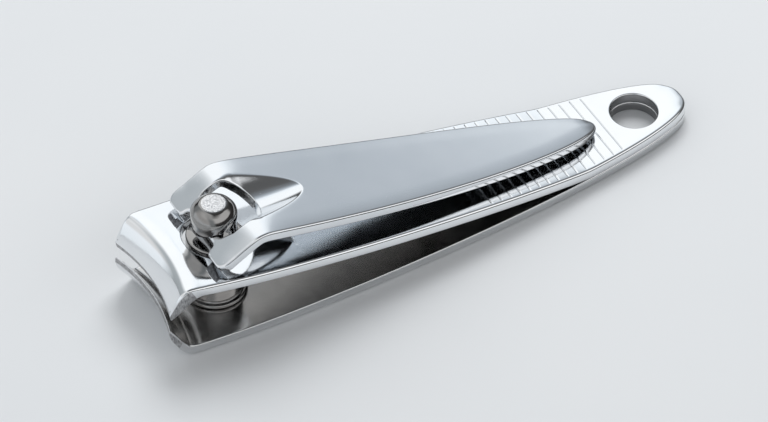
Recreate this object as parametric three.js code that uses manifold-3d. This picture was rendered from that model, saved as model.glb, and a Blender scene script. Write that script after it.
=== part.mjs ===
// Nail clipper with a swivelling lever: lower jaw, upper jaw, post and lever.
// Millimetres. +X runs from the blades to the key-ring end, +Z is up.
// The clipper lies on its lower jaw, whose underside is the plane z = 0.
import * as THREE from "three";
import { mergeVertices } from "three/addons/utils/BufferGeometryUtils.js";
import Module from "manifold-3d";

const wasm = await Module();
wasm.setup();

// ---- Driving dimensions ----

const TAIL_X = 40; // end of the key-ring tail
const NOSE_X = -40; // corners of the cutting edges
const JAW_THICK = 1.45;
const SEAM_GAP = 0.12; // between the two jaws where they lie together
const SEAM_X = 21.8; // the jaws part company here, going forward
const JAW_RISE = THREE.MathUtils.degToRad(8.45); // slope of the upper jaw
const JAW_WIDEST = 8.7; // half width
const WIDEST_X = -14;
const NOSE_HALF = 7.4;
const EDGE_HOLLOW = 1.17; // how far the cutting edges curve back in plan
const KEY_HOLE_X = 32.7;
const KEY_HOLE_R = 3.16;

const GROOVES = 15;
const GROOVE_PITCH = 1.507;
const GROOVE_FIRST_X = 27.7;
const GROOVE_WIDE = 0.44;
const GROOVE_DEEP = 0.26;

const POST_X = -29.65;
const BARREL_R = 3.6;
const HEAD_R = 3.0;
const LEDGE_Z = 11.25; // floor of the notch
const HEAD_TOP_Z = 16.6;
const SHAFT_R = 2.6;
const BASE_R = 4.6;
const JAW_HOLE_R = 4.15; // clearance hole in the upper jaw

const LEVER_THICK = 1.4;
const LEVER_HALF = 7.3;
const LEVER_TIP_X = 26.2;
const LEVER_TIP_Z = 4.7;
const LEVER_FRONT_X = -32.75;
const LEVER_FRONT_Z = 12.41;
const BEND_X = -26.66;
const BEND_SOFT = 2.5; // half length of the rounded bend
const NOSE_SLOPE = 0.646;
const LEVER_SAG = 0.85; // how far the long part dips below a straight line
const BAR_X = -30.59;
const BAR_Z = 12.97;
const BAR_R = 0.7;
const WINDOW_HALF = 4.05; // opening that the post's head stands in
const WINDOW_ROUND_X = -27.6;
const FORK_HALF = 3.5; // gap between the two feet, beside the crossbar
const DIMPLE_TIP_X = -17.2;
const DIMPLE_DEEP = 1.9;
const REST_SWIVEL = THREE.MathUtils.degToRad(-0.8); // the lever lies a little askew

// ---- Derived ----

const seamZ = JAW_THICK;
const tailTopZ = 2 * JAW_THICK + SEAM_GAP;
const bendZ = LEVER_FRONT_Z + (BEND_X - LEVER_FRONT_X) * NOSE_SLOPE;
const longSlope = (LEVER_TIP_Z - bendZ) / (LEVER_TIP_X - BEND_X);

// ---- Solids and helpers ----

function solid(geometry) {
  const bare = new THREE.BufferGeometry();
  bare.setAttribute("position", geometry.getAttribute("position").clone());
  if (geometry.index) bare.setIndex(geometry.index.clone());
  const merged = mergeVertices(bare, 1e-4);
  const mesh = new wasm.Mesh({
    numProp: 3,
    vertProperties: new Float32Array(merged.attributes.position.array),
    triVerts: new Uint32Array(merged.index.array),
  });
  return new wasm.Manifold(mesh);
}

function geometryOf(manifold) {
  const mesh = manifold.getMesh();
  const count = mesh.vertProperties.length / mesh.numProp;
  const xyz = new Float32Array(count * 3);
  for (let i = 0; i < count; i++) {
    for (let k = 0; k < 3; k++) {
      xyz[3 * i + k] = mesh.vertProperties[i * mesh.numProp + k];
    }
  }
  const geometry = new THREE.BufferGeometry();
  geometry.setAttribute("position", new THREE.BufferAttribute(xyz, 3));
  geometry.setIndex(new THREE.BufferAttribute(new Uint32Array(mesh.triVerts), 1));
  return geometry;
}

function rod(radius, lowZ, highZ, x, sides = 48) {
  const geometry = new THREE.CylinderGeometry(radius, radius, highZ - lowZ, sides);
  geometry.rotateX(Math.PI / 2);
  geometry.translate(x, 0, (lowZ + highZ) / 2);
  return solid(geometry);
}

function crossRod(radius, halfLength, x, z, sides = 32) {
  const geometry = new THREE.CylinderGeometry(radius, radius, 2 * halfLength, sides);
  geometry.translate(x, 0, z);
  return solid(geometry);
}

// A plan outline pushed up from lowZ to highZ.
function plate(shape, lowZ, highZ, curveSegments = 24) {
  const depth = highZ - lowZ;
  const geometry = new THREE.ExtrudeGeometry(shape, {
    depth,
    bevelEnabled: false,
    curveSegments,
  });
  geometry.translate(0, 0, lowZ);
  return solid(geometry);
}

// A side outline, drawn in x and z, pushed out to both sides of the middle plane.
function sidePrism(shape, half, curveSegments = 16) {
  const geometry = new THREE.ExtrudeGeometry(shape, {
    depth: 2 * half,
    bevelEnabled: false,
    curveSegments,
  });
  geometry.translate(0, 0, -half);
  geometry.rotateX(Math.PI / 2);
  return solid(geometry);
}

// Skins a row of stations. Each station has an upper and a lower row of points
// that run across the piece in step, so the ends close with one strip each.
function skin(stations) {
  const across = stations[0].upper.length;
  const ring = 2 * across;
  const points = [];
  for (const s of stations) {
    points.push(...s.upper, ...[...s.lower].reverse());
  }
  const index = [];
  const quad = (a, b, c, d) => index.push(a, c, b, a, d, c);
  for (let i = 0; i + 1 < stations.length; i++) {
    for (let j = 0; j < ring; j++) {
      const k = (j + 1) % ring;
      quad(i * ring + j, i * ring + k, (i + 1) * ring + k, (i + 1) * ring + j);
    }
  }
  const last = (stations.length - 1) * ring;
  for (let j = 0; j + 1 < across; j++) {
    quad(j, ring - 1 - j, ring - 2 - j, j + 1);
    quad(last + j + 1, last + ring - 2 - j, last + ring - 1 - j, last + j);
  }
  const geometry = new THREE.BufferGeometry().setFromPoints(points);
  geometry.setIndex(index);
  return solid(geometry);
}

// Sideways positions and edge drops across a piece whose edges are rounded.
function crossRow(half, round, flats) {
  const r = Math.min(round, half * 0.8);
  const edge = [90, 60, 30].map((degrees) => {
    const turn = THREE.MathUtils.degToRad(degrees);
    return { y: half - r + r * Math.sin(turn), drop: r - r * Math.cos(turn) };
  });
  const flat = [];
  for (let i = 0; i <= flats; i++) {
    flat.push({ y: (half - r) * ((2 * i) / flats - 1), drop: 0 });
  }
  const mirrored = edge.map(({ y, drop }) => ({ y: -y, drop }));
  return [...mirrored, ...flat, ...edge.reverse()];
}

// ---- Jaws ----

function jawHalf(x) {
  if (x < WIDEST_X) {
    const u = (WIDEST_X - x) / (WIDEST_X - NOSE_X);
    return JAW_WIDEST - (JAW_WIDEST - NOSE_HALF) * u ** 3;
  }
  const u = (x - WIDEST_X) / (TAIL_X - WIDEST_X);
  return JAW_WIDEST * (1 - Math.min(u, 0.9999) ** 1.65) ** 0.36;
}

// Share of the cutting edge's hollow that a station has, which dies out behind the nose.
function hollowShare(x) {
  const u = THREE.MathUtils.clamp((x + 36) / 5, 0, 1);
  return 1 - u * u * (3 - 2 * u);
}

function upperTopZ(x) {
  return tailTopZ + Math.max(0, SEAM_X - x) * Math.tan(JAW_RISE);
}

// One jaw from a list of [x above, z above, x below, z below], front to back.
// A jaw that falls away to the rear by "fall" stays flat where its stations are hollow.
function jaw(profile, roundAbove, roundBelow, fall) {
  const stations = profile.map(([xa, za, xb, zb]) => {
    const half = jawHalf((xa + xb) / 2);
    const share = EDGE_HOLLOW * hollowShare((xa + xb) / 2);
    const hollow = (y) => share * (1 - (y / NOSE_HALF) ** 2);
    const drop = fall * THREE.MathUtils.clamp((xa - NOSE_X) / 2.5, 0, 1);
    const room = Math.hypot(xa - xb, za - zb) / 2.4;
    const above = crossRow(half, Math.min(roundAbove, room), 12);
    const below = crossRow(half, Math.min(roundBelow, room), 12);
    return {
      upper: above.map((p) => {
        const back = hollow(p.y);
        return new THREE.Vector3(xa + back, p.y, za - p.drop - back * drop);
      }),
      lower: below.map((p) => {
        const back = hollow(p.y);
        return new THREE.Vector3(xb + back, p.y, zb + p.drop - back * drop);
      }),
    };
  });
  return skin(stations);
}

// Stations along the straight body, closer together where the tail rounds off.
function bodyXs(from) {
  const xs = [];
  for (let i = 0; i < 12; i++) xs.push(from + ((SEAM_X - from) * i) / 12);
  for (let i = 0; i <= 14; i++) {
    const turn = (Math.PI / 2) * (i / 14);
    xs.push(SEAM_X + (TAIL_X - SEAM_X) * Math.sin(turn));
  }
  return xs;
}

function keyHole() {
  return rod(KEY_HOLE_R, -1, tailTopZ + 1, KEY_HOLE_X, 56);
}

function lowerJaw() {
  const profile = [
    [-39.95, 5.45, -40.0, 4.3],
    [-39.2, 4.4, -39.75, 3.4],
    [-38.5, 3.3, -39.1, 2.3],
    [-37.85, 2.3, -38.55, 1.4],
    [-37.2, 1.65, -37.85, 0.6],
    [-36.4, 1.45, -37.1, 0.14],
    [-35.4, JAW_THICK, -35.9, 0],
  ];
  for (const x of bodyXs(-34.4)) profile.push([x, JAW_THICK, x, 0]);
  return jaw(profile, 0.2, 0.3, 0)
    .subtract(keyHole())
    .subtract(rod(SHAFT_R + 0.15, -1, 3, POST_X))
    .subtract(rod(BASE_R + 0.25, -1, 0.78, POST_X));
}

// V-shaped grip grooves across the upper jaw, short of its edges.
function gripGrooves() {
  const cuts = [];
  for (let i = 0; i < GROOVES; i++) {
    const x = GROOVE_FIRST_X - i * GROOVE_PITCH;
    const half = jawHalf(x) - 0.45;
    const z = upperTopZ(x);
    const outline = new THREE.Shape();
    outline.moveTo(-GROOVE_WIDE / 2 - 0.1, 0.12);
    outline.lineTo(0, -GROOVE_DEEP);
    outline.lineTo(GROOVE_WIDE / 2 + 0.1, 0.12);
    const geometry = new THREE.ExtrudeGeometry(outline, {
      depth: 2 * half,
      bevelEnabled: false,
    });
    geometry.translate(0, 0, -half);
    geometry.rotateX(Math.PI / 2);
    if (x < SEAM_X) geometry.rotateY(JAW_RISE);
    geometry.translate(x, 0, z);
    cuts.push(solid(geometry));
  }
  return cuts;
}

function upperJaw() {
  const under = JAW_THICK / Math.cos(JAW_RISE);
  const profile = [
    [-39.95, 8.2, -39.75, 7.1],
    [-39.4, 9.35, -38.75, 7.75],
    [-38.75, 10.45, -38.05, 8.35],
    [-38.2, 11.15, -37.35, 8.95],
    [-37.75, 11.5, -36.85, 9.35],
    [-37.2, upperTopZ(-37.2) - 0.08, -36.3, 9.72],
    [-36.5, upperTopZ(-36.5), -35.6, upperTopZ(-35.6) - under - 0.1],
    [-35.3, upperTopZ(-35.3), -34.7, upperTopZ(-34.7) - under],
  ];
  for (const x of bodyXs(-34)) {
    const above = upperTopZ(x);
    const ahead = x < SEAM_X - 0.5;
    profile.push([x, above, x, ahead ? above - under : seamZ + SEAM_GAP]);
  }
  let body = jaw(profile, 0.42, 0.15, Math.tan(JAW_RISE)).subtract(keyHole());
  for (const cut of gripGrooves()) body = body.subtract(cut);
  return body.subtract(rod(JAW_HOLE_R, 7, 13, POST_X));
}

// ---- Post ----

function post() {
  const outline = [
    [0, 0.04],
    [BASE_R - 0.2, 0.04],
    [BASE_R, 0.2],
    [BASE_R, 0.7],
    [SHAFT_R, 0.7],
    [SHAFT_R, JAW_THICK + 0.1],
    [4.2, JAW_THICK + 0.1],
    [4.2, 1.95],
    [4.0, 2.15],
    [BARREL_R, 2.15],
    [BARREL_R, LEDGE_Z - 0.28],
    [BARREL_R - 0.08, LEDGE_Z - 0.08],
    [BARREL_R - 0.28, LEDGE_Z],
    [HEAD_R - 0.1, LEDGE_Z],
    [HEAD_R - 0.1, HEAD_TOP_Z - 2.7],
    [HEAD_R, HEAD_TOP_Z - 2.3],
    [HEAD_R, HEAD_TOP_Z - 1.8],
    [HEAD_R - 0.08, HEAD_TOP_Z - 1.4],
    [HEAD_R - 0.28, HEAD_TOP_Z - 0.95],
    [HEAD_R - 0.55, HEAD_TOP_Z - 0.55],
    [HEAD_R - 0.85, HEAD_TOP_Z - 0.2],
    [HEAD_R - 1.02, HEAD_TOP_Z - 0.05],
    [HEAD_R - 1.15, HEAD_TOP_Z],
    [0, HEAD_TOP_Z],
  ];
  const profile = outline.map(([r, z]) => new THREE.Vector2(r, z));
  const lathe = new THREE.LatheGeometry(profile, 44);
  lathe.rotateX(Math.PI / 2);
  lathe.translate(POST_X, 0, 0);
  return solid(lathe).subtract(notch());
}

// Slot for the crossbar, open to the front under the head's drooping lip.
function notch() {
  const room = BAR_R + 0.16;
  const tilt = Math.atan(NOSE_SLOPE);
  const ceilingX = BAR_X - room * Math.sin(tilt);
  const ceilingZ = BAR_Z + room * Math.cos(tilt);
  const outline = new THREE.Shape();
  outline.moveTo(ceilingX - 3, LEDGE_Z);
  outline.lineTo(BAR_X + room - 0.3, LEDGE_Z);
  outline.lineTo(BAR_X + room, LEDGE_Z + 0.4);
  outline.absarc(BAR_X, BAR_Z, room, 0, tilt + Math.PI / 2, false);
  outline.lineTo(ceilingX - 3, ceilingZ - 3 * NOSE_SLOPE);
  return sidePrism(outline, 5, 10);
}

// ---- Lever ----

function leverHalf(x) {
  const from = -24;
  if (x < from) return LEVER_HALF;
  const u = Math.min((x - from) / (LEVER_TIP_X - from), 0.9998);
  return LEVER_HALF * (1 - u ** 1.3) ** 0.46;
}

// Height of the lever's upper face: a rising nose, a soft bend and a long sagging part.
function leverTopZ(x) {
  const u = THREE.MathUtils.clamp((x - BEND_X) / (LEVER_TIP_X - BEND_X), 0, 1);
  const sag = LEVER_SAG * 4 * u * (1 - u);
  const before = BEND_X - BEND_SOFT;
  if (x < before) return bendZ + (x - BEND_X) * NOSE_SLOPE;
  if (x > BEND_X + BEND_SOFT) return bendZ + (x - BEND_X) * longSlope - sag;
  const run = x - before;
  const start = bendZ - BEND_SOFT * NOSE_SLOPE;
  return start + run * NOSE_SLOPE + ((longSlope - NOSE_SLOPE) * run * run) / (4 * BEND_SOFT) - sag;
}

// Depth of the teardrop dimple behind the window.
function dimple(x, y) {
  const u = (DIMPLE_TIP_X - x) / 7;
  if (u <= 0) return 0;
  const half = 3.9 * Math.sqrt(Math.min(u, 1.15));
  const side = 1 - (y / half) ** 2;
  const fade = THREE.MathUtils.clamp((x + 28.5) / 3, 0, 1);
  return side > 0 ? DIMPLE_DEEP * Math.min(u, 1) ** 0.8 * side * fade : 0;
}

function leverXs() {
  const xs = [LEVER_FRONT_X, -32.2, -31.4, -30.4, -29.6];
  for (let x = -29; x < -16.8; x += 0.65) xs.push(x);
  for (let i = 0; i <= 18; i++) {
    const turn = (Math.PI / 2) * (i / 18);
    xs.push(-16.6 + (LEVER_TIP_X + 16.6) * Math.sin(turn));
  }
  return xs;
}

function leverBlank() {
  const stations = leverXs().map((x) => {
    const half = leverHalf(x);
    const slope = (leverTopZ(x + 0.05) - leverTopZ(x - 0.05)) / 0.1;
    const normal = new THREE.Vector2(-slope, 1).normalize();
    const row = crossRow(half, 0.38, 18);
    const under = crossRow(half, 0.15, 18);
    const top = leverTopZ(x);
    return {
      upper: row.map((p) => new THREE.Vector3(x, p.y, top - p.drop - dimple(x, p.y))),
      lower: under.map((p) => {
        const px = x - normal.x * LEVER_THICK;
        const pz = top - normal.y * LEVER_THICK;
        return new THREE.Vector3(px, p.y, pz + p.drop - dimple(x, p.y));
      }),
    };
  });
  return skin(stations);
}

// Plan outline of the window round the post's head and the fork ahead of it.
function windowOutline() {
  const outline = new THREE.Shape();
  outline.moveTo(-35, 4.5);
  outline.lineTo(-35, -4.5);
  outline.absarc(-32.6 + 1.1, -FORK_HALF - 1.1, 1.1, Math.PI, Math.PI / 2, true);
  outline.lineTo(-29.9, -FORK_HALF);
  outline.lineTo(-29.2, -WINDOW_HALF);
  outline.absarc(WINDOW_ROUND_X, 0, WINDOW_HALF, -Math.PI / 2, Math.PI / 2, false);
  outline.lineTo(-29.2, WINDOW_HALF);
  outline.lineTo(-29.9, FORK_HALF);
  outline.absarc(-32.6 + 1.1, FORK_HALF + 1.1, 1.1, -Math.PI / 2, Math.PI, true);
  return outline;
}

// What is taken off the feet so that they roll over the jaw as the lever turns over.
function footTrim() {
  const slopeAngle = JAW_RISE;
  const reach = (BAR_Z - upperTopZ(BAR_X)) * Math.cos(slopeAngle) - 0.1;
  const front = new THREE.BoxGeometry(12, 24, 14);
  front.translate(BAR_X - 6, 0, BAR_Z);
  return solid(front).subtract(crossRod(reach, 13, BAR_X, BAR_Z, 56));
}

// The space that the upper jaw takes up under the lever at every swivel angle.
function swivelCone() {
  const low = upperTopZ(POST_X) + 0.1;
  const reach = 12;
  const profile = [
    new THREE.Vector2(0, low - 6),
    new THREE.Vector2(reach, low - 6),
    new THREE.Vector2(reach, low + reach * Math.tan(JAW_RISE)),
    new THREE.Vector2(0, low),
  ];
  const lathe = new THREE.LatheGeometry(profile, 64);
  lathe.rotateX(Math.PI / 2);
  lathe.translate(POST_X, 0, 0);
  return solid(lathe);
}

// Rounds the feet's outer corners in plan.
function cornerTrim(side) {
  const r = 1.3;
  const outline = new THREE.Shape();
  outline.moveTo(LEVER_FRONT_X - 1, side * (LEVER_HALF + 1));
  outline.lineTo(LEVER_FRONT_X - 1, side * (LEVER_HALF - r));
  const centreX = LEVER_FRONT_X + r;
  const centreY = side * (LEVER_HALF - r);
  outline.absarc(centreX, centreY, r, Math.PI, (side * Math.PI) / 2, side > 0);
  outline.lineTo(centreX, side * (LEVER_HALF + 1));
  return plate(outline, 8, 16, 10);
}

function lever() {
  return leverBlank()
    .subtract(plate(windowOutline(), 8, 20, 12))
    .add(crossRod(BAR_R, FORK_HALF + 0.9, BAR_X, BAR_Z, 24))
    .subtract(footTrim())
    .subtract(swivelCone())
    .subtract(cornerTrim(1))
    .subtract(cornerTrim(-1));
}

// ---- Assembly ----

function piece(name, manifold, colour, roughness) {
  const material = new THREE.MeshStandardMaterial({
    color: colour,
    roughness,
    metalness: 1,
  });
  const mesh = new THREE.Mesh(geometryOf(manifold), material);
  mesh.name = name;
  return mesh;
}

const group = new THREE.Group();
group.add(piece("lower_jaw", lowerJaw(), 0xb9bdc1, 0.14));
group.add(piece("upper_jaw", upperJaw(), 0xd9dde0, 0.12));

const turned = new THREE.Group(); // what swivels with the post
turned.position.x = POST_X;
turned.rotation.z = REST_SWIVEL;
for (const mesh of [piece("post", post(), 0x9b9a99, 0.12), piece("lever", lever(), 0xc4cad0, 0.2)]) {
  mesh.position.x = -POST_X;
  turned.add(mesh);
}
group.add(turned);

export default group;
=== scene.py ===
"""Looks of the nail clipper: four polished steel pieces rebuilt finely inside their CAD boxes."""

import math

import bpy
import numpy as np
from mathutils import Matrix, Vector
from mathutils.geometry import delaunay_2d_cdt


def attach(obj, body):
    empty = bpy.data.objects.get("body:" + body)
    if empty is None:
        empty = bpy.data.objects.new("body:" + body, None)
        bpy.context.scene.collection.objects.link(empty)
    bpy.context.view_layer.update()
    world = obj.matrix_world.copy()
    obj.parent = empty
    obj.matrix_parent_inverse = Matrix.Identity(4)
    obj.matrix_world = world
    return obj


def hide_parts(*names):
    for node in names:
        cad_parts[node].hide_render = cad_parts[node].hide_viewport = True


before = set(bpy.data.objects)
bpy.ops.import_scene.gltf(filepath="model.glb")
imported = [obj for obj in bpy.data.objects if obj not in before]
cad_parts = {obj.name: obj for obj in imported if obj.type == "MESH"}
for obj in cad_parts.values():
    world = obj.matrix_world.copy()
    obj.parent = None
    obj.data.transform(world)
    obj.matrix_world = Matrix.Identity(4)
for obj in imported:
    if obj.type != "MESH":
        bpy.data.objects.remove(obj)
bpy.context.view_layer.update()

MM = 0.001

# ---- Dimensions in millimetres, the same as the CAD's ----

TAIL_X = 40.0
NOSE_X = -40.0
JAW_THICK = 1.45
SEAM_GAP = 0.12
SEAM_X = 21.8
JAW_RISE = math.radians(8.45)
JAW_WIDEST = 8.7
WIDEST_X = -14.0
NOSE_HALF = 7.4
EDGE_HOLLOW = 1.17
KEY_HOLE_X = 32.7
KEY_HOLE_R = 3.16
GROOVES = 15
GROOVE_PITCH = 1.507
GROOVE_FIRST_X = 27.7
POST_X = -29.65
BARREL_R = 3.6
HEAD_R = 3.0
LEDGE_Z = 11.25
HEAD_TOP_Z = 16.6
SHAFT_R = 2.6
BASE_R = 4.6
JAW_HOLE_R = 4.15
LEVER_THICK = 1.4
LEVER_HALF = 7.3
LEVER_TIP_X = 26.2
LEVER_TIP_Z = 4.7
LEVER_FRONT_X = -32.75
LEVER_FRONT_Z = 12.41
BEND_X = -26.66
NOSE_SLOPE = 0.646
LEVER_SAG = 0.85
BAR_X = -30.59
BAR_Z = 12.97
BAR_R = 0.7
WINDOW_HALF = 4.05
WINDOW_ROUND_X = -27.6
FORK_HALF = 3.5
DIMPLE_TIP_X = -17.2
DIMPLE_DEEP = 1.9
REST_SWIVEL = math.radians(-0.8)

# ---- Finer sizes that only the looks have, in millimetres ----

HOLLOW_FADE_X = -36.0
HOLLOW_FADE = 5.0
HOLLOW_RAMP = 1.9
NOSE_CORNER_R = 0.25
SHAFT_PLAY = 0.15
GROOVE_HALF = 0.11
GROOVE_DEEP = 0.08
GROOVE_MARGIN = 0.58
GROOVE_FADE = 0.14
FOOT_R = 1.3
BAR_SLACK = 0.03
BAR_ROUND = 0.44
NOTCH_PLAY = 0.16
HEAD_FLAT_R = 1.5
KEY_HOLE_POINTS = 96
RIM_SUPPORT = 0.1
GRID_GAP = 0.13
CREASE_GAP = 0.12
CREASE_END_GAP = 0.08

TAIL_TOP_Z = 2 * JAW_THICK + SEAM_GAP
BEND_Z = LEVER_FRONT_Z + (BEND_X - LEVER_FRONT_X) * NOSE_SLOPE
LONG_SLOPE = (LEVER_TIP_Z - BEND_Z) / (LEVER_TIP_X - BEND_X)


# ---- Outlines in plan ----

def even_steps(points, step):
    """The closed line through points again, with its points evenly spaced."""
    closed = np.vstack([points, points[:1]])
    lengths = np.hypot(*np.diff(closed, axis=0).T)
    along = np.concatenate([[0], np.cumsum(lengths)])
    count = max(8, round(along[-1] / step))
    stops = np.linspace(0, along[-1], count, endpoint=False)
    return np.column_stack([np.interp(stops, along, closed[:, k]) for k in (0, 1)])


def arc(x, y, radius, start, end, count=24):
    """Points on an arc between two angles in degrees."""
    turn = np.radians(np.linspace(start, end, count))
    return np.column_stack([x + radius * np.cos(turn), y + radius * np.sin(turn)])


def circle_hole(x, radius, count):
    """A round hole, run clockwise so that material is on its left."""
    return arc(x, 0, radius, 0, -360 + 360 / count, count)


def inward(loop):
    """Unit vectors at each point of a loop, pointing into the material on its left."""
    along = np.roll(loop, -1, axis=0) - np.roll(loop, 1, axis=0)
    along /= np.linalg.norm(along, axis=1, keepdims=True)
    return np.column_stack([-along[:, 1], along[:, 0]])


def inside(points, loop):
    """Which points lie within a closed loop."""
    x, y = points[:, 0:1], points[:, 1:2]
    x0, y0 = loop[:, 0], loop[:, 1]
    x1, y1 = np.roll(x0, -1), np.roll(y0, -1)
    spans = (y0 > y) != (y1 > y)
    rise = np.where(y1 == y0, 1e-12, y1 - y0)
    crossing = x0 + (y - y0) * (x1 - x0) / rise
    return (np.sum(spans & (x < crossing), axis=1) % 2) == 1


def clear_of(points, loop, distance):
    """Which points keep a distance from every point of a loop."""
    return nearest(points, loop) > distance


def nearest(points, loop):
    """Distance of each point from a loop's points."""
    gaps = np.empty(len(points))
    for start in range(0, len(points), 2000):
        part = points[start:start + 2000]
        apart = np.hypot(part[:, 0:1] - loop[:, 0], part[:, 1:2] - loop[:, 1])
        gaps[start:start + 2000] = apart.min(axis=1)
    return gaps


def roll_over(points, loop, deep, wide):
    """How far a polished face falls away towards an edge."""
    return deep * np.clip(1 - nearest(points, loop) / wide, 0, 1) ** 2


# ---- A pressed sheet with rounded edges ----

def rounded_edge(top_round, low_round, steps=5):
    """Rings round an edge as (inset, share of the thickness, extra depth), top to bottom."""
    rings = [(top_round + RIM_SUPPORT, 0, 0)]
    for turn in np.linspace(math.pi / 2, 0, steps + 1):
        rings.append((top_round * (1 - math.cos(turn)), 0, top_round * (1 - math.sin(turn))))
    rings.append((0, 0.5, (top_round - low_round) / 2))
    for turn in np.linspace(0, math.pi / 2, steps + 1):
        rings.append((low_round * (1 - math.cos(turn)), 1, -low_round * (1 - math.sin(turn))))
    rings.append((low_round + RIM_SUPPORT, 1, 0))
    return rings


def fill(loops, grid, creases):
    """Triangles between closed loops, with extra points inside and creases kept as edges."""
    outer, holes = loops[0], loops[1:]
    keep = inside(grid, outer) & clear_of(grid, outer, GRID_GAP)
    for hole in holes:
        keep &= ~inside(grid, hole) & clear_of(grid, hole, GRID_GAP)
    for crease in creases:
        keep &= clear_of(grid, crease, CREASE_GAP)
    points, edges, start = [], [], 0
    for loop in loops:
        count = len(loop)
        edges += [(start + i, start + (i + 1) % count) for i in range(count)]
        points.append(loop)
        start += count
    rim_count = start
    for crease in creases:
        inner = inside(crease, outer) & clear_of(crease, outer, CREASE_END_GAP)
        for hole in holes:
            inner &= ~inside(crease, hole) & clear_of(crease, hole, CREASE_END_GAP)
        kept = np.flatnonzero(inner)
        edges += [(start + i, start + i + 1) for i in range(len(kept) - 1)
                  if kept[i + 1] == kept[i] + 1]
        points.append(crease[kept])
        start += len(kept)
    points.append(grid[keep])
    points = np.vstack(points)
    result = delaunay_2d_cdt([Vector(p) for p in points], edges, [], 0, 1e-6)
    where = np.array([tuple(v) for v in result[0]])
    origin = [min(o) if o else -1 for o in result[3]]
    faces = np.array([f for f in result[2]])
    centres = where[faces].mean(axis=1)
    good = inside(centres, outer)
    for hole in holes:
        good &= ~inside(centres, hole)
    faces = faces[good]
    a, b, c = where[faces[:, 0]], where[faces[:, 1]], where[faces[:, 2]]
    area = (b[:, 0] - a[:, 0]) * (c[:, 1] - a[:, 1]) - (c[:, 0] - a[:, 0]) * (b[:, 1] - a[:, 1])
    faces[area < 0] = faces[area < 0][:, ::-1]
    return where, origin, faces, rim_count


def new_object(name, points, faces):
    """A mesh object from points in metres, linked into the scene."""
    mesh = bpy.data.meshes.new(name)
    mesh.from_pydata(points, [], faces)
    obj = bpy.data.objects.new(name, mesh)
    bpy.context.scene.collection.objects.link(obj)
    return obj


def edge_strips(loop, rings, place, first):
    """The points of the rings round one loop, and the faces between the rings."""
    normals = inward(loop)
    count = len(loop)
    points, faces = [], []
    for inset, share, extra in rings:
        points.append(place(loop + normals * np.reshape(inset, (-1, 1)), share, extra))
    for k in range(len(rings) - 1):
        upper, lower = first + k * count, first + (k + 1) * count
        for i in range(count):
            j = (i + 1) % count
            faces.append((upper + i, lower + i, lower + j, upper + j))
    return np.vstack(points), faces


def rim(loop, inset, first):
    """The plan positions of one ring round a loop, and its points' indices."""
    plan = loop + inward(loop) * np.reshape(inset, (-1, 1))
    return plan, np.arange(first, first + len(loop))


def face_fill(rims, grid, creases, total):
    """The new plan points of one face of a sheet, and its triangles between the rims."""
    indices = np.concatenate([index for _, index in rims])
    where, origin, triangles, rim_count = fill([plan for plan, _ in rims], grid, creases)
    lookup = np.zeros(len(where), int)
    fresh = []
    for k, source in enumerate(origin):
        if 0 <= source < rim_count:
            lookup[k] = indices[source]
        else:
            lookup[k] = total + len(fresh)
            fresh.append(k)
    return where[fresh], [tuple(int(lookup[k]) for k in corners) for corners in triangles]


def sheet(name, top, low, loops, grid, creases=(), after=None):
    """A pressed sheet. top and low give the two faces' places at plan positions, and each
    loop is (points, rings). Returns the object and where its faces' regions end: the walls,
    the top face and the low face."""
    def place(plan, share, extra):
        upper, lower = top(plan), low(plan)
        thick = np.linalg.norm(lower - upper, axis=1)
        part = share + np.asarray(extra) / thick
        return upper + (lower - upper) * part[:, None]

    verts, faces, total = [], [], 0
    top_rims, low_rims = [], []
    for loop, rings in loops:
        points, strips = edge_strips(loop, rings, place, total)
        verts.append(points)
        faces += strips
        top_rims.append(rim(loop, rings[0][0], total))
        total += len(points)
        low_rims.append(rim(loop, rings[-1][0], total - len(loop)))
    regions = [len(faces)]
    for share, rims in ((0, top_rims), (1, low_rims)):
        plan, triangles = face_fill(rims, grid, creases, total)
        verts.append(place(plan, share, np.zeros(len(plan))))
        total += len(plan)
        faces += [corners[::-1] for corners in triangles] if share else triangles
        regions.append(len(faces))
    points = np.vstack(verts)
    if after is not None:
        points = after(points)
    obj = new_object(name, (points * MM).tolist(), faces)
    obj.data.validate()
    obj.data.shade_smooth()
    return obj, regions


def grid_of(xs, half, step):
    """Rows of plan points at each x, out to a half width."""
    count = max(2, round(2 * half / step))
    ys = np.linspace(-half, half, count + 1)
    return np.array([(x, y) for x in xs for y in ys])


# ---- Jaws ----

def jaw_half(x):
    x = np.asarray(x, float)
    fore = np.clip((WIDEST_X - x) / (WIDEST_X - NOSE_X), 0, 1.2)
    aft = np.clip((x - WIDEST_X) / (TAIL_X - WIDEST_X), 0, 1)
    front = JAW_WIDEST - (JAW_WIDEST - NOSE_HALF) * fore ** 3
    return np.where(x < WIDEST_X, front, JAW_WIDEST * (1 - aft ** 1.65) ** 0.36)


def upper_top_z(x):
    """Height of the upper jaw's top, with the bend where the jaws part a little soft."""
    ahead = SEAM_X - x
    return TAIL_TOP_Z + math.tan(JAW_RISE) * (np.sqrt(ahead ** 2 + 0.6) + ahead) / 2


def smooth_through(stops, values, at):
    """A curve through values at stops, with slopes between those of its two sides."""
    slopes = np.gradient(values, stops)
    k = np.clip(np.searchsorted(stops, at) - 1, 0, len(stops) - 2)
    span = stops[k + 1] - stops[k]
    t = (at - stops[k]) / span
    a, b = values[k], values[k + 1]
    ma, mb = slopes[k] * span, slopes[k + 1] * span
    t2, t3 = t * t, t * t * t
    return (2 * t3 - 3 * t2 + 1) * a + (t3 - 2 * t2 + t) * ma + (3 * t2 - 2 * t3) * b + (t3 - t2) * mb


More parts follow.
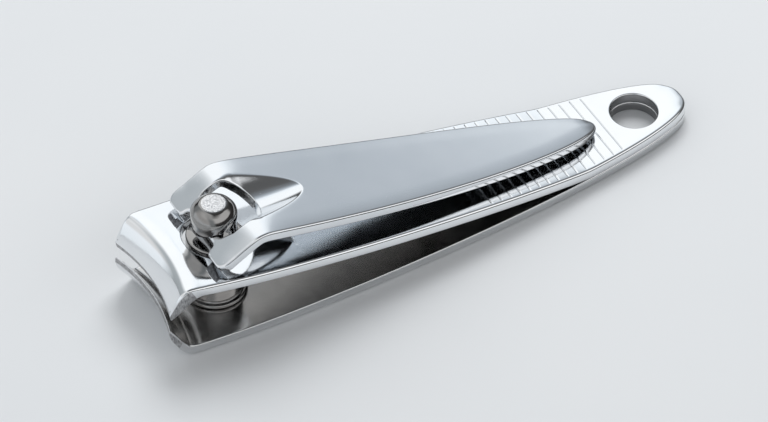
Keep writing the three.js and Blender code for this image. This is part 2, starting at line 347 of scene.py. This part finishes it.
class Nose:
    """The bent nose of a jaw, measured by a length s that joins x where the jaw is straight.

    Each station is (top x, top z, low x, low z), from the cutting edge backwards. The nose
    is hollowed across its width, but not within the radius clear of the post's axis."""

    def __init__(self, stations, join, top_z, low_z, fall, clear):
        straight = join + np.arange(0, 4) * 0.9
        rows = [list(row) for row in stations]
        rows += [[x, float(top_z(x)), x, float(low_z(x))] for x in straight]
        rows = np.array(rows)
        middle = (rows[:, :2] + rows[:, 2:]) / 2
        steps = np.hypot(*np.diff(middle, axis=0).T)
        nose = len(stations)
        stops = np.concatenate([[0], np.cumsum(steps)])
        self.stops = stops - stops[nose] + join
        self.stops[nose:] = straight
        self.rows = rows
        self.join = join
        self.top_z, self.low_z, self.fall, self.clear = top_z, low_z, fall, clear
        self.start = self.stops[0]

    def value(self, s, column):
        return smooth_through(self.stops, self.rows[:, column], np.maximum(s, self.start))

    def middle_x(self, s):
        bent = (self.value(s, 0) + self.value(s, 2)) / 2
        return np.where(s < self.join, bent, s)

    def face(self, plan, upper):
        s, y = plan[:, 0], plan[:, 1]
        straight_z = (self.top_z if upper else self.low_z)(s)
        bent_x = self.value(s, 0 if upper else 2)
        bent_z = self.value(s, 1 if upper else 3)
        x = np.where(s < self.join, bent_x, s)
        z = np.where(s < self.join, bent_z, straight_z)
        u = np.clip((self.middle_x(s) - HOLLOW_FADE_X) / HOLLOW_FADE, 0, 1)
        share = EDGE_HOLLOW * (1 - u * u * (3 - 2 * u))
        from_post = np.hypot(s - POST_X, y)
        near_post = np.clip((from_post - self.clear) / HOLLOW_RAMP, 0, 1)
        back = share * (1 - (y / NOSE_HALF) ** 2) * near_post
        drop = self.fall * np.clip((self.value(s, 0) - NOSE_X) / 2.5, 0, 1)
        return np.column_stack([x + back, y, z - back * drop])

    def outline(self):
        """The jaw's outline, counter-clockwise, with small radii at the nose's corners."""
        turn = np.linspace(0, math.pi / 2, 500)
        front = self.start + NOSE_CORNER_R
        body = front + (TAIL_X - front) * np.sin(turn)
        near = np.column_stack([body, -jaw_half(self.middle_x(body))])
        width = float(jaw_half(self.middle_x(np.array([front]))[0]))
        corner = arc(front, width - NOSE_CORNER_R, NOSE_CORNER_R, 90, 180, 8)
        far = near[::-1] * (1, -1)
        points = [near, far, corner, corner[::-1] * (1, -1)]
        return even_steps(np.vstack(points), 0.2)


def lower_jaw():
    nose = Nose(
        [
            (-39.95, 5.45, -40.0, 4.3),
            (-39.2, 4.4, -39.75, 3.4),
            (-38.5, 3.3, -39.1, 2.3),
            (-37.85, 2.3, -38.55, 1.4),
            (-37.2, 1.65, -37.85, 0.6),
            (-36.4, 1.45, -37.1, 0.14),
            (-35.4, JAW_THICK, -35.9, 0.0),
        ],
        -34.4,
        lambda x: np.full(np.shape(x), JAW_THICK),
        lambda x: np.zeros(np.shape(x)),
        0.0,
        SHAFT_R + 2.4,
    )
    counterbore = [
        (0.2, 0, 0),
        (0.1, 0, 0),
        (0.03, 0, 0.03),
        (0, 0, 0.1),
        (0, 1, -0.82),
        (0.04, 1, -0.78),
        (2.06, 1, -0.78),
        (2.1, 1, -0.74),
        (2.1, 1, -0.1),
        (2.13, 1, -0.03),
        (2.2, 1, 0),
        (2.3, 1, 0),
    ]
    loops = [
        (nose.outline(), rounded_edge(0.2, 0.3)),
        (circle_hole(KEY_HOLE_X, KEY_HOLE_R, KEY_HOLE_POINTS), rounded_edge(0.16, 0.2)),
        (circle_hole(POST_X, SHAFT_R + SHAFT_PLAY, 96), counterbore),
    ]
    rows = np.concatenate([np.arange(nose.start + 0.15, -33, 0.2), np.arange(-33, 40, 0.9)])
    jaw, regions = sheet(
        "lower_jaw_steel",
        lambda plan: nose.face(plan, True),
        lambda plan: nose.face(plan, False),
        loops,
        grid_of(rows, 8.6, 0.7),
        after=lambda points: np.maximum(points, (-1e3, -1e3, 0)),
    )
    return jaw, regions, loops[0][0][:, 0]


def groove_depth(x, y):
    """Depth of the V-shaped grip grooves, which fade out short of the edges."""
    depth = np.zeros(np.shape(x))
    for i in range(GROOVES):
        centre = GROOVE_FIRST_X - i * GROOVE_PITCH
        side = np.clip(1 - np.abs(x - centre) / GROOVE_HALF, 0, 1)
        reach = float(jaw_half(centre)) - GROOVE_MARGIN
        end = np.clip((reach - np.abs(y)) / GROOVE_FADE, 0, 1)
        depth = np.maximum(depth, GROOVE_DEEP * side * end)
    return depth


def upper_jaw():
    under = JAW_THICK / math.cos(JAW_RISE)

    def low_z(x):
        return upper_top_z(x) - under

    nose = Nose(
        [
            (-39.95, 8.2, -39.75, 7.1),
            (-39.4, 9.35, -38.75, 7.75),
            (-38.75, 10.45, -38.05, 8.35),
            (-38.2, 11.15, -37.35, 8.95),
            (-37.75, 11.5, -36.85, 9.35),
            (-37.2, float(upper_top_z(-37.2)) - 0.08, -36.3, 9.72),
            (-36.5, float(upper_top_z(-36.5)), -35.6, float(low_z(-35.6)) - 0.1),
            (-35.3, float(upper_top_z(-35.3)), -34.7, float(low_z(-34.7))),
        ],
        -34.0,
        upper_top_z,
        low_z,
        math.tan(JAW_RISE),
        JAW_HOLE_R + 0.25,
    )

    outline = nose.outline()
    sides = outline[outline[:, 0] > nose.start + 1.5]
    end = outline[outline[:, 0] > TAIL_X - 0.8]

    def top(plan):
        face = nose.face(plan, True)
        face[:, 2] -= groove_depth(plan[:, 0], plan[:, 1])
        face[:, 2] -= roll_over(plan, sides, 0.07, 1.3)
        face[:, 2] -= roll_over(plan, end, 0.16, 2.2)
        return face

    loops = [
        (outline, rounded_edge(0.4, 0.15)),
        (circle_hole(KEY_HOLE_X, KEY_HOLE_R, KEY_HOLE_POINTS), rounded_edge(0.2, 0.12)),
        (circle_hole(POST_X, JAW_HOLE_R, 112), rounded_edge(0.12, 0.12)),
    ]
    rows = np.concatenate([np.arange(nose.start + 0.15, -33, 0.2), np.arange(-33, 5.6, 0.6),
                           np.arange(28.6, 40, 0.4)])
    grid = [grid_of(rows, 8.6, 0.45)]
    for i in range(GROOVES):
        centre = GROOVE_FIRST_X - i * GROOVE_PITCH
        half = float(jaw_half(centre)) - GROOVE_MARGIN
        inner = half - GROOVE_FADE
        ys = np.concatenate([np.linspace(-inner, inner, 29), [-half, half],
                             [-half - 0.12, half + 0.12]])
        for step in (-0.5, -0.2, -GROOVE_HALF, -GROOVE_HALF / 2, 0,
                     GROOVE_HALF / 2, GROOVE_HALF, 0.2, 0.5):
            grid.append(np.array([(centre + step, y) for y in ys]))
    jaw, regions = sheet(
        "upper_jaw_steel", top, lambda plan: nose.face(plan, False), loops, np.vstack(grid)
    )
    return jaw, regions, outline[:, 0]


# ---- Lever ----

def lever_half(x):
    u = np.clip((np.asarray(x, float) + 24) / (LEVER_TIP_X + 24), 0, 1)
    return LEVER_HALF * (1 - u ** 1.3) ** 0.46


def lever_top_z(x):
    u = np.clip((x - BEND_X) / (LEVER_TIP_X - BEND_X), 0, 1)
    sag = LEVER_SAG * 4 * u * (1 - u)
    middle = BEND_Z + (x - BEND_X) * (NOSE_SLOPE + LONG_SLOPE) / 2
    side = (x - BEND_X) * (NOSE_SLOPE - LONG_SLOPE) / 2
    return middle - np.sqrt(side ** 2 + 0.3) - sag


def dimple_half(x):
    return 3.9 * np.sqrt(np.clip((DIMPLE_TIP_X - x) / 7, 0, 1.15))


def dimple(x, y):
    u = np.clip((DIMPLE_TIP_X - x) / 7, 1e-6, 1.15)
    side = 1 - (y / (3.9 * np.sqrt(u))) ** 2
    side = (side + np.sqrt(side ** 2 + 0.012)) / 2
    fade = np.clip((x + 28.5) / 3, 0, 1)
    depth = DIMPLE_DEEP * np.minimum(u, 1) ** 0.8 * side * fade
    return np.where(x < DIMPLE_TIP_X, depth, 0)


def lever_face(plan, upper, sides):
    x, y = plan[:, 0], plan[:, 1]
    top = lever_top_z(x)
    pit = dimple(x, y)
    if upper:
        end = sides[sides[:, 0] > LEVER_TIP_X - 0.5]
        roll = roll_over(plan, sides, 0.14, 2.4) + roll_over(plan, end, 0.16, 2.0)
        return np.column_stack([x, y, top - pit - roll])
    slope = (lever_top_z(x + 0.05) - lever_top_z(x - 0.05)) / 0.1
    norm = np.sqrt(1 + slope ** 2)
    return np.column_stack([x + slope / norm * LEVER_THICK, y, top - LEVER_THICK / norm - pit])


def trim_feet(points):
    """Rounds the feet about the crossbar and keeps the lever clear of the jaw below."""
    across, up = points[:, 0] - BAR_X, points[:, 2] - BAR_Z
    rise = math.tan(JAW_RISE)
    jaw_top = TAIL_TOP_Z + (SEAM_X - BAR_X) * rise
    reach = (BAR_Z - jaw_top) * math.cos(JAW_RISE) - 0.1
    far = np.hypot(across, up)
    scale = np.where((far > reach) & (across < 0), reach / np.maximum(far, 1e-6), 1)
    points[:, 0] = BAR_X + across * scale
    points[:, 2] = BAR_Z + up * scale
    from_post = np.hypot(points[:, 0] - POST_X, points[:, 1])
    low = TAIL_TOP_Z + (SEAM_X - POST_X) * rise + 0.1
    cone = np.where(from_post < 12, low + from_post * rise, -1e3)
    points[:, 2] = np.maximum(points[:, 2], cone)
    return points


def lever():
    front = LEVER_FRONT_X
    steep = math.hypot(1, NOSE_SLOPE)
    bar_middle = BAR_X - NOSE_SLOPE / steep * LEVER_THICK / 2
    bar_half = (BAR_R - BAR_SLACK) / steep
    bar_front = bar_middle - bar_half
    bar_rear = bar_middle + bar_half
    turn = np.linspace(0, math.pi / 2, 500)
    body = front + FOOT_R + (LEVER_TIP_X - front - FOOT_R) * np.sin(turn)
    near = np.column_stack([body, -lever_half(body)])
    foot = np.vstack([
        arc(front + FOOT_R, LEVER_HALF - FOOT_R, FOOT_R, 90, 180, 16),
        arc(front + 0.35, FORK_HALF + 1.15, 0.35, 180, 225, 8),
        arc(bar_front - 0.2, FORK_HALF + 1.1, 1.1, 215, 260, 12),
        arc(bar_front - 0.35, FORK_HALF - 0.35, 0.35, 60, 0, 8),
    ])
    outline = np.vstack([near, near[::-1] * (1, -1), foot, foot[::-1] * (1, -1)])
    outline = even_steps(outline, 0.16)
    sides = outline[outline[:, 0] > front + 2.5]
    window = np.vstack([
        arc(bar_rear + 0.4, FORK_HALF - 0.4, 0.4, 180, 100, 8),
        arc(bar_rear + 1.5, WINDOW_HALF - 0.5, 0.5, 110, 90, 6),
        arc(WINDOW_ROUND_X, 0, WINDOW_HALF, 90, 0, 40),
    ])
    window = np.vstack([window, window[::-1] * (1, -1)])
    window = even_steps(window, 0.16)

    def near_bar(loop):
        side = np.clip((FORK_HALF + 0.1 - np.abs(loop[:, 1])) / 0.7, 0, 1)
        along = np.clip((-28.9 - loop[:, 0]) / 0.8, 0, 1)
        return side * along

    def edge(loop, top_round, low_round):
        share = near_bar(loop)
        upper = top_round + (BAR_ROUND - top_round) * share
        lower = low_round + (BAR_ROUND - low_round) * share
        return rounded_edge(upper, lower, 7)

    loops = [(outline, edge(outline, 0.36, 0.16)), (window, edge(window, 0.2, 0.16))]
    fine = np.arange(-32.4, -16, 0.22)
    grid = np.vstack([
        grid_of(fine, 4.9, 0.25),
        [(x, side * y) for x in fine for y in (5.25, 5.6, 5.95, 6.3, 6.65) for side in (-1, 1)],
        grid_of(np.arange(-15.8, 26.4, 0.45), 7.2, 0.4),
    ])
    rim_x = DIMPLE_TIP_X - 8.2 * np.linspace(0, 1, 60) ** 2
    rim = np.column_stack([rim_x, dimple_half(rim_x)])
    rim = np.vstack([rim[:0:-1], rim * (1, -1)])
    across = inward(rim)
    rims = [(rim + across * step)[2:-2] for step in (-0.2, -0.1, 0, 0.1, 0.2)]
    return sheet(
        "lever_steel",
        lambda plan: lever_face(plan, True, sides),
        lambda plan: lever_face(plan, False, sides),
        loops,
        grid,
        creases=rims,
        after=lambda points: swivelled(trim_feet(points)),
    )


def swivelled(points):
    """Points turned about the post's axis, as the lever and post lie a little askew."""
    turn = np.array([[math.cos(REST_SWIVEL), -math.sin(REST_SWIVEL)],
                     [math.sin(REST_SWIVEL), math.cos(REST_SWIVEL)]])
    points = np.array(points, float)
    centre = np.array([POST_X, 0])
    points[:, :2] = (points[:, :2] - centre) @ turn.T + centre
    return points


# ---- Post ----

def rounded_profile(points, radius):
    """A profile of (radius, height) points with each inner corner rounded."""
    out = [points[0]]
    for before, here, after in zip(points, points[1:], points[2:]):
        p, q, r = (np.array(v, float) for v in (before, here, after))
        back, ahead = p - q, r - q
        reach = min(radius, np.linalg.norm(back) * 0.45, np.linalg.norm(ahead) * 0.45)
        start = q + back / np.linalg.norm(back) * reach
        end = q + ahead / np.linalg.norm(ahead) * reach
        for t in np.linspace(0, 1, 5):
            out.append(tuple((1 - t) ** 2 * start + 2 * t * (1 - t) * q + t * t * end))
    out.append(points[-1])
    return out


def lathe(name, profile, sides):
    """A profile of (radius, height) points turned about the post's axis."""
    verts, faces = [], []
    for r, z in profile:
        if r == 0:
            verts.append((POST_X * MM, 0, z * MM))
            continue
        for k in range(sides):
            turn = 2 * math.pi * k / sides
            verts.append(((POST_X + r * math.cos(turn)) * MM, r * math.sin(turn) * MM, z * MM))
    last = len(profile) - 1

    def ring(i):
        return 1 + (i - 1) * sides

    for k in range(sides):
        j = (k + 1) % sides
        faces.append((0, ring(1) + j, ring(1) + k))
        for i in range(1, last - 1):
            faces.append((ring(i) + k, ring(i) + j, ring(i + 1) + j, ring(i + 1) + k))
        faces.append((ring(last - 1) + k, ring(last - 1) + j, len(verts) - 1))
    return new_object(name, verts, faces)


def prism(name, outline, half):
    """A side outline of (x, z) points pushed out to both sides of the middle plane."""
    count = len(outline)
    verts = [(x * MM, side * half * MM, z * MM) for side in (-1, 1) for x, z in outline]
    faces = [tuple(range(count)), tuple(range(2 * count - 1, count - 1, -1))]
    for i in range(count):
        j = (i + 1) % count
        faces.append((i, i + count, j + count, j))
    return new_object(name, verts, faces)


def notch_outline():
    """The side outline of the notch for the crossbar, open towards the blades."""
    room = BAR_R + NOTCH_PLAY
    corner = 0.4
    floor_z = LEDGE_Z + 0.002
    mouth = 3
    tilt = math.atan(NOSE_SLOPE)
    roof = (BAR_X - room * math.sin(tilt), BAR_Z + room * math.cos(tilt))
    rear = BAR_X + room - corner
    outline = [(roof[0] - mouth, floor_z), (rear, floor_z)]
    outline += [tuple(p) for p in arc(rear, floor_z + corner, corner, -90, 0, 6)[1:]]
    outline += [tuple(p) for p in arc(BAR_X, BAR_Z, room, 0, 90 + math.degrees(tilt), 20)]
    outline += [(roof[0] - mouth, roof[1] - mouth * NOSE_SLOPE)]
    return outline


def post():
    outline = [
        (0, 0.04),
        (BASE_R, 0.04),
        (BASE_R, 0.7),
        (SHAFT_R, 0.7),
        (SHAFT_R, JAW_THICK + 0.1),
        (4.2, JAW_THICK + 0.1),
        (4.2, 2.15),
        (BARREL_R, 2.15),
        (BARREL_R, LEDGE_Z),
        (HEAD_R - 0.1, LEDGE_Z),
        (HEAD_R - 0.1, HEAD_TOP_Z - 2.9),
        (HEAD_R, HEAD_TOP_Z - 2.0),
        (HEAD_R - 0.05, HEAD_TOP_Z - 1.35),
        (HEAD_R - 0.5, HEAD_TOP_Z - 0.68),
        (HEAD_R - 1.15, HEAD_TOP_Z - 0.12),
        (HEAD_FLAT_R, HEAD_TOP_Z),
        (0, HEAD_TOP_Z),
    ]
    body = lathe("post_steel", rounded_profile(outline, 0.3), 128)
    tool = prism("notch_tool", notch_outline(), 5)
    boolean = body.modifiers.new("notch", "BOOLEAN")
    boolean.operation = "DIFFERENCE"
    boolean.solver = "EXACT"
    boolean.object = tool
    bevel = body.modifiers.new("edges", "BEVEL")
    bevel.width = 0.07 * MM
    bevel.segments = 3
    bevel.limit_method = "ANGLE"
    bevel.angle_limit = math.radians(38)
    bevel.use_clamp_overlap = True
    graph = bpy.context.evaluated_depsgraph_get()
    mesh = bpy.data.meshes.new_from_object(body.evaluated_get(graph))
    body.modifiers.clear()
    body.data = mesh
    places = np.array([v.co for v in mesh.vertices])
    mesh.vertices.foreach_set("co", (swivelled(places / MM) * MM).ravel())
    mesh.shade_smooth()
    mesh.set_sharp_from_angle(angle=math.radians(40))
    bpy.data.objects.remove(tool)
    return body


# ---- Materials ----

def colour_ramp(tree, value, stops):
    """A colour ramp over a value. Its stops are (position, grey level or colour)."""
    node = tree.nodes.new("ShaderNodeValToRGB")
    ramp = node.color_ramp
    while len(ramp.elements) < len(stops):
        ramp.elements.new(0.5)
    for element, (position, tone) in zip(ramp.elements, stops):
        element.position = position
        colour = (tone,) * 3 if isinstance(tone, (int, float)) else tone
        element.color = (*colour, 1)
    tree.links.new(value, node.inputs["Fac"])
    return node.outputs["Color"]


class Shader:
    """A metal material being put together from nodes."""

    def __init__(self, name):
        self.material = bpy.data.materials.new(name)
        self.material.use_nodes = True
        self.nodes = self.material.node_tree.nodes
        self.links = self.material.node_tree.links
        self.surface = self.nodes["Principled BSDF"]
        self.place = self.nodes.new("ShaderNodeTexCoord").outputs["Object"]

    def stretched(self, x, y, z):
        node = self.nodes.new("ShaderNodeMapping")
        node.inputs["Scale"].default_value = (x, y, z)
        self.links.new(self.place, node.inputs["Vector"])
        return node.outputs["Vector"]

    def noise(self, scale, detail=3.0, place=None):
        node = self.nodes.new("ShaderNodeTexNoise")
        node.inputs["Scale"].default_value = scale
        node.inputs["Detail"].default_value = detail
        self.links.new(place or self.place, node.inputs["Vector"])
        return node.outputs["Fac"]

    def spots(self, scale, size):
        """1 within small scattered spots, 0 elsewhere."""
        cells = self.nodes.new("ShaderNodeTexVoronoi")
        cells.inputs["Scale"].default_value = scale
        self.links.new(self.place, cells.inputs["Vector"])
        return self.ramp(cells.outputs["Distance"], [(0.0, 1.0), (size, 1.0), (size * 1.7, 0.0)])

    def ramp(self, value, stops):
        return colour_ramp(self.material.node_tree, value, stops)

    def math(self, operation, a, b):
        node = self.nodes.new("ShaderNodeMath")
        node.operation = operation
        for socket, value in zip(node.inputs, (a, b)):
            if isinstance(value, (int, float)):
                socket.default_value = value
            else:
                self.links.new(value, socket)
        return node.outputs["Value"]

    def bump(self, height, distance, strength):
        node = self.nodes.new("ShaderNodeBump")
        node.inputs["Distance"].default_value = distance
        node.inputs["Strength"].default_value = strength
        self.links.new(height, node.inputs["Height"])
        self.links.new(node.outputs["Normal"], self.surface.inputs["Normal"])


def polished(name, dark, light, rough, pit_scale, pit_strength, scratch=0.25):
    """Polished plate: faint cloudiness, hairline scratches along it and tiny pits."""
    shader = Shader(name)
    shader.surface.inputs["Metallic"].default_value = 1.0
    cloud = shader.noise(90, 4)
    tone = shader.ramp(cloud, [(0.3, dark), (0.7, light)])
    shader.links.new(tone, shader.surface.inputs["Base Color"])
    smear = shader.noise(260, 5)
    low, high = rough
    haze = shader.ramp(smear, [(0.35, low), (0.75, high)])
    pits = shader.spots(pit_scale, 0.03)
    value = shader.math("MAXIMUM", haze, shader.math("MULTIPLY", pits, 0.35))
    shader.links.new(value, shader.surface.inputs["Roughness"])
    hairline = shader.noise(1.0, 2, shader.stretched(250, 9000, 9000))
    height = shader.math("MULTIPLY", hairline, scratch)
    sunk = shader.math("SUBTRACT", height, shader.math("MULTIPLY", pits, pit_strength))
    shader.bump(sunk, 0.00002, 0.25)
    return shader.material


def sheared(name, dark, light, rough, grain):
    """Torn steel grain left by the shearing tool, streaked up and down."""
    shader = Shader(name)
    shader.surface.inputs["Metallic"].default_value = 1.0
    streaks = shader.noise(1.0, 4, shader.stretched(grain, grain, grain * 0.35))
    tone = shader.ramp(streaks, [(0.32, dark), (0.68, light)])
    shader.links.new(tone, shader.surface.inputs["Base Color"])
    haze = shader.ramp(streaks, [(0.3, rough + 0.1), (0.7, rough - 0.1)])
    shader.links.new(haze, shader.surface.inputs["Roughness"])
    shader.bump(streaks, 0.00012, 0.7)
    return shader.material


def floor_material():
    shader = Shader("studio_floor")
    tone = shader.ramp(shader.noise(14, 3), [(0.3, (0.71, 0.73, 0.75)), (0.7, (0.74, 0.755, 0.77))])
    shader.links.new(tone, shader.surface.inputs["Base Color"])
    shader.surface.inputs["Roughness"].default_value = 0.6
    shader.surface.inputs["Specular IOR Level"].default_value = 0.2
    shader.bump(shader.noise(900, 3), 0.00004, 0.15)
    return shader.material


def dress(obj, node, body, materials, choose):
    """Gives a piece its materials face by face and hangs it on its CAD body."""
    for material in materials:
        obj.data.materials.append(material)
    if choose is not None:
        for face in obj.data.polygons:
            face.material_index = choose(face)
    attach(obj, body)
    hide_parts(node)


# A jaw's outline has 15 rings, so 14 rows of faces lie between its points. Its key-ring
# hole has as many, and comes next.
JAW_FACE_ROWS = len(rounded_edge(0.2, 0.2)) - 1


def key_hole_faces(along):
    """The faces of the wall inside a jaw's key-ring hole."""
    start = len(along) * JAW_FACE_ROWS
    return range(start + KEY_HOLE_POINTS * 5, start + KEY_HOLE_POINTS * 9)


def sheared_faces(along, first, last, reach):
    """Picks a jaw's wall faces at its nose: ring by ring round the edge, out to a reach
    from the cutting edge. along gives the length position of each point of the outline."""
    count = len(along)
    nose = along < along.min() + reach

    def picks(index):
        ring, column = divmod(index, count)
        return first <= ring <= last and bool(nose[column])

    return picks


def jaw_choice(along, inner, sheared_wall):
    """Which of a jaw's materials a face has: skin, inner face, sheared wall, or the key-ring hole's
    wall, which is painted dark as shade.
    """
    shaded_bore = key_hole_faces(along)

    def choose(face):
        if face.index in inner:
            return 1
        if face.index in shaded_bore:
            return 3
        return 2 if sheared_wall(face.index) else 0

    return choose


def dress_lower_jaw(inner_steel, torn, shaded_bore):
    skin = polished("lower_jaw_side", (0.70, 0.71, 0.72), (0.78, 0.79, 0.80), (0.08, 0.2), 1600, 1.0)
    jaw, regions, along = lower_jaw()
    inner = range(regions[0], regions[1])
    choose = jaw_choice(along, inner, sheared_faces(along, 6, 8, 2.9))
    dress(jaw, "lower_jaw", "lower_jaw_body",
          [skin, inner_steel, torn, shaded_bore], choose)


def dress_upper_jaw(inner_steel, torn, shaded_bore):
    skin = polished("upper_jaw_top", (0.80, 0.82, 0.84), (0.86, 0.875, 0.89), (0.05, 0.13), 1400, 0.8)
    jaw, regions, along = upper_jaw()
    inner = range(regions[1], regions[2])
    choose = jaw_choice(along, inner, sheared_faces(along, 5, 9, 4.6))
    dress(jaw, "upper_jaw", "upper_jaw_body",
          [skin, inner_steel, torn, shaded_bore], choose)


def dress_lever():
    skin = polished("lever_top", (0.76, 0.785, 0.81), (0.81, 0.83, 0.855), (0.10, 0.16), 900, 0.4)
    # Near-black steel for the feet's ends: torn grain, and painted shade for the dark gap over the
    # jaw.
    torn_and_shaded = sheared("sheared_painted_shade", (0.10, 0.10, 0.105), (0.26, 0.26, 0.27), 0.45, 5200)
    arm, _ = lever()
    reach = (BAR_Z - float(upper_top_z(BAR_X))) * math.cos(JAW_RISE) - 0.1

    def choose(face):
        """The sheared ends of the feet, which lie on a circle about the crossbar. Their steel is
        painted near black, partly for the torn grain and partly as painted shade for the gap they
        face.
        """
        centre = face.center / MM
        from_bar = math.hypot(centre.x - BAR_X, centre.z - BAR_Z)
        front = centre.x < BAR_X - 0.8 and from_bar > reach - 0.12
        return 1 if front and abs(centre.y) > 3.6 and face.normal.z < 0.2 else 0

    dress(arm, "lever", "lever_body", [skin, torn_and_shaded], choose)


def dress_post():
    # The post's steel is painted darker than the jaws as painted shade, standing in for the dark
    # surroundings its dome mirrors.
    turned = polished("post_turned_painted_dark", (0.25, 0.245, 0.24), (0.37, 0.365, 0.36), (0.05, 0.11), 1500, 0.8)
    torn_top = sheared("sheared_bright", (0.58, 0.58, 0.59), (0.93, 0.93, 0.94), 0.3, 3600)
    pin = post()

    def choose(face):
        """The rough flat on top of the head, and the torn half of the ledge below it."""
        centre = face.center / MM
        off_axis = math.hypot(centre.x - POST_X, centre.y)
        if centre.z > HEAD_TOP_Z - 0.03 and off_axis < HEAD_FLAT_R + 0.2:
            return 1
        ledge = abs(centre.z - LEDGE_Z) < 0.03 and centre.x < BAR_X - 0.9
        return 1 if ledge and -2.9 < centre.y < -0.1 and off_axis < 3.2 else 0

    dress(pin, "post", "post_body", [turned, torn_top], choose)


def build_clipper():
    inner_steel = polished("jaw_inner", (0.50, 0.495, 0.49), (0.64, 0.635, 0.63), (0.12, 0.26),
                           1900, 1.2, 0.5)
    torn = sheared("sheared_grey", (0.22, 0.22, 0.225), (0.56, 0.56, 0.57), 0.38, 5200)
    # The key-ring hole's walls are painted dark grey as painted shade, standing in for the shadowed
    # floor they mirror.
    shaded_bore = polished("bore_painted_shade", (0.26, 0.26, 0.265), (0.40, 0.40, 0.405), (0.2, 0.32), 1500, 0.8)
    dress_lower_jaw(inner_steel, torn, shaded_bore)
    dress_upper_jaw(inner_steel, torn, shaded_bore)
    dress_lever()
    dress_post()


# ---- Studio ----

AZIMUTH = math.radians(-30.433)
ELEVATION = math.radians(45.782)
ROLL = math.radians(1.0927)
DISTANCE = 0.6306
SIDE_SHIFT = (-0.0043026, 0.00029925)
LENS = 228.9
FLOOR_HALF = 0.7
FLOOR_DROP = 0.00005


def add_camera():
    forward = Vector((-math.sin(AZIMUTH) * math.cos(ELEVATION),
                      math.cos(AZIMUTH) * math.cos(ELEVATION), -math.sin(ELEVATION)))
    level = Vector((math.cos(AZIMUTH), math.sin(AZIMUTH), 0))
    upright = level.cross(forward)
    right = level * math.cos(ROLL) + upright * math.sin(ROLL)
    up = upright * math.cos(ROLL) - level * math.sin(ROLL)
    data = bpy.data.cameras.new("camera")
    data.lens = LENS
    data.sensor_width = 36
    data.clip_start = 0.01
    camera = bpy.data.objects.new("camera", data)
    place = right * SIDE_SHIFT[0] + up * SIDE_SHIFT[1] - forward * DISTANCE
    turn = Matrix((right, up, -forward)).transposed().to_4x4()
    camera.matrix_world = Matrix.Translation(place) @ turn
    bpy.context.scene.collection.objects.link(camera)
    bpy.context.scene.camera = camera


def add_floor():
    edge = FLOOR_HALF
    corners = [(-edge, -edge, 0), (edge, -edge, 0), (edge, edge, 0), (-edge, edge, 0)]
    floor = new_object("floor", corners, [(0, 1, 2, 3)])
    floor.location.z = -FLOOR_DROP
    floor.data.materials.append(floor_material())


class Surround:
    """The world's colour being put together from the direction looked in."""

    def __init__(self, tree):
        self.tree = tree
        self.place = tree.nodes.new("ShaderNodeTexCoord").outputs["Generated"]
        split = tree.nodes.new("ShaderNodeSeparateXYZ")
        tree.links.new(self.place, split.inputs["Vector"])
        self.x, self.y, self.height = (split.outputs[axis] for axis in "XYZ")

    def ramp(self, value, stops):
        return colour_ramp(self.tree, value, stops)

    def facing(self, direction):
        """How nearly the direction looked in is the one given, up to 1."""
        node = self.tree.nodes.new("ShaderNodeVectorMath")
        node.operation = "DOT_PRODUCT"
        self.tree.links.new(self.place, node.inputs[0])
        node.inputs[1].default_value = Vector(direction).normalized()
        return node.outputs["Value"]

    def spread(self, value, low, high):
        """0 where the value is low, 1 where it is high, and between them in between."""
        node = self.tree.nodes.new("ShaderNodeMapRange")
        node.inputs["From Min"].default_value = low
        node.inputs["From Max"].default_value = high
        self.tree.links.new(value, node.inputs["Value"])
        return node.outputs["Result"]

    def blend(self, a, b, share):
        node = self.tree.nodes.new("ShaderNodeMix")
        node.data_type = "RGBA"
        self.tree.links.new(share, node.inputs["Factor"])
        self.tree.links.new(a, node.inputs["A"])
        self.tree.links.new(b, node.inputs["B"])
        return node.outputs["Result"]


def add_world():
    """A dark surround with a bright window high up at the rear, a narrow bright strip at the
    front, and on the blades' side a grey gap with a pale panel beyond it."""
    world = bpy.data.worlds.new("studio")
    world.use_nodes = True
    bpy.context.scene.world = world
    room = Surround(world.node_tree)
    dark = room.ramp(room.height, [(0.0, 0.05), (1.0, 0.05)])
    window = room.ramp(room.facing((0.05, 0.80, 0.60)), [
        (0.0, 0.07),
        (0.5, 0.10),
        (0.70, (0.20, 0.215, 0.23)),
        (0.785, (0.40, 0.435, 0.47)),
        (0.812, (0.46, 0.495, 0.535)),
        (0.83, (0.70, 0.74, 0.77)),
        (0.86, (0.86, 0.90, 0.93)),
        (0.91, (0.93, 0.945, 0.95)),
    ])
    strip = room.ramp(room.height, [
        (0.0, 0.05), (0.34, 0.06), (0.42, 0.9), (0.74, 0.9), (0.82, 0.08), (1.0, 0.10),
    ])
    gap = room.ramp(room.height, [
        (0.0, (0.30, 0.32, 0.33)), (0.6, (0.39, 0.415, 0.43)), (0.9, 0.8),
    ])
    panel = room.ramp(room.height, [
        (0.0, (0.72, 0.76, 0.79)), (0.2, (0.76, 0.79, 0.82)), (0.34, 0.64), (0.52, 0.64), (0.7, 0.85),
    ])
    around = room.blend(dark, window, room.spread(room.height, 0.16, 0.34))
    around = room.blend(around, strip, room.spread(room.y, -0.1, -0.3))
    around = room.blend(around, gap, room.spread(room.x, -0.25, -0.45))
    around = room.blend(around, panel, room.spread(room.x, -0.6, -0.75))
    background = world.node_tree.nodes["Background"]
    world.node_tree.links.new(around, background.inputs["Color"])
    background.inputs["Strength"].default_value = 1.25


def add_light(name, place, aim, size, power):
    """A soft light that the steel doesn't mirror, because the world is what it mirrors."""
    data = bpy.data.lights.new(name, "AREA")
    data.shape = "RECTANGLE"
    data.size, data.size_y = size
    data.energy = power
    light = bpy.data.objects.new(name, data)
    light.location = place
    light.rotation_euler = (Vector(aim) - Vector(place)).to_track_quat("-Z", "Y").to_euler()
    light.visible_glossy = False
    bpy.context.scene.collection.objects.link(light)


def light_studio():
    add_world()
    add_light("key", (0.22, 0.27, 0.50), (0, 0, 0), (0.35, 0.3), 2.0)
    bpy.context.scene.view_settings.view_transform = "Standard"


build_clipper()
add_floor()
light_studio()
add_camera()
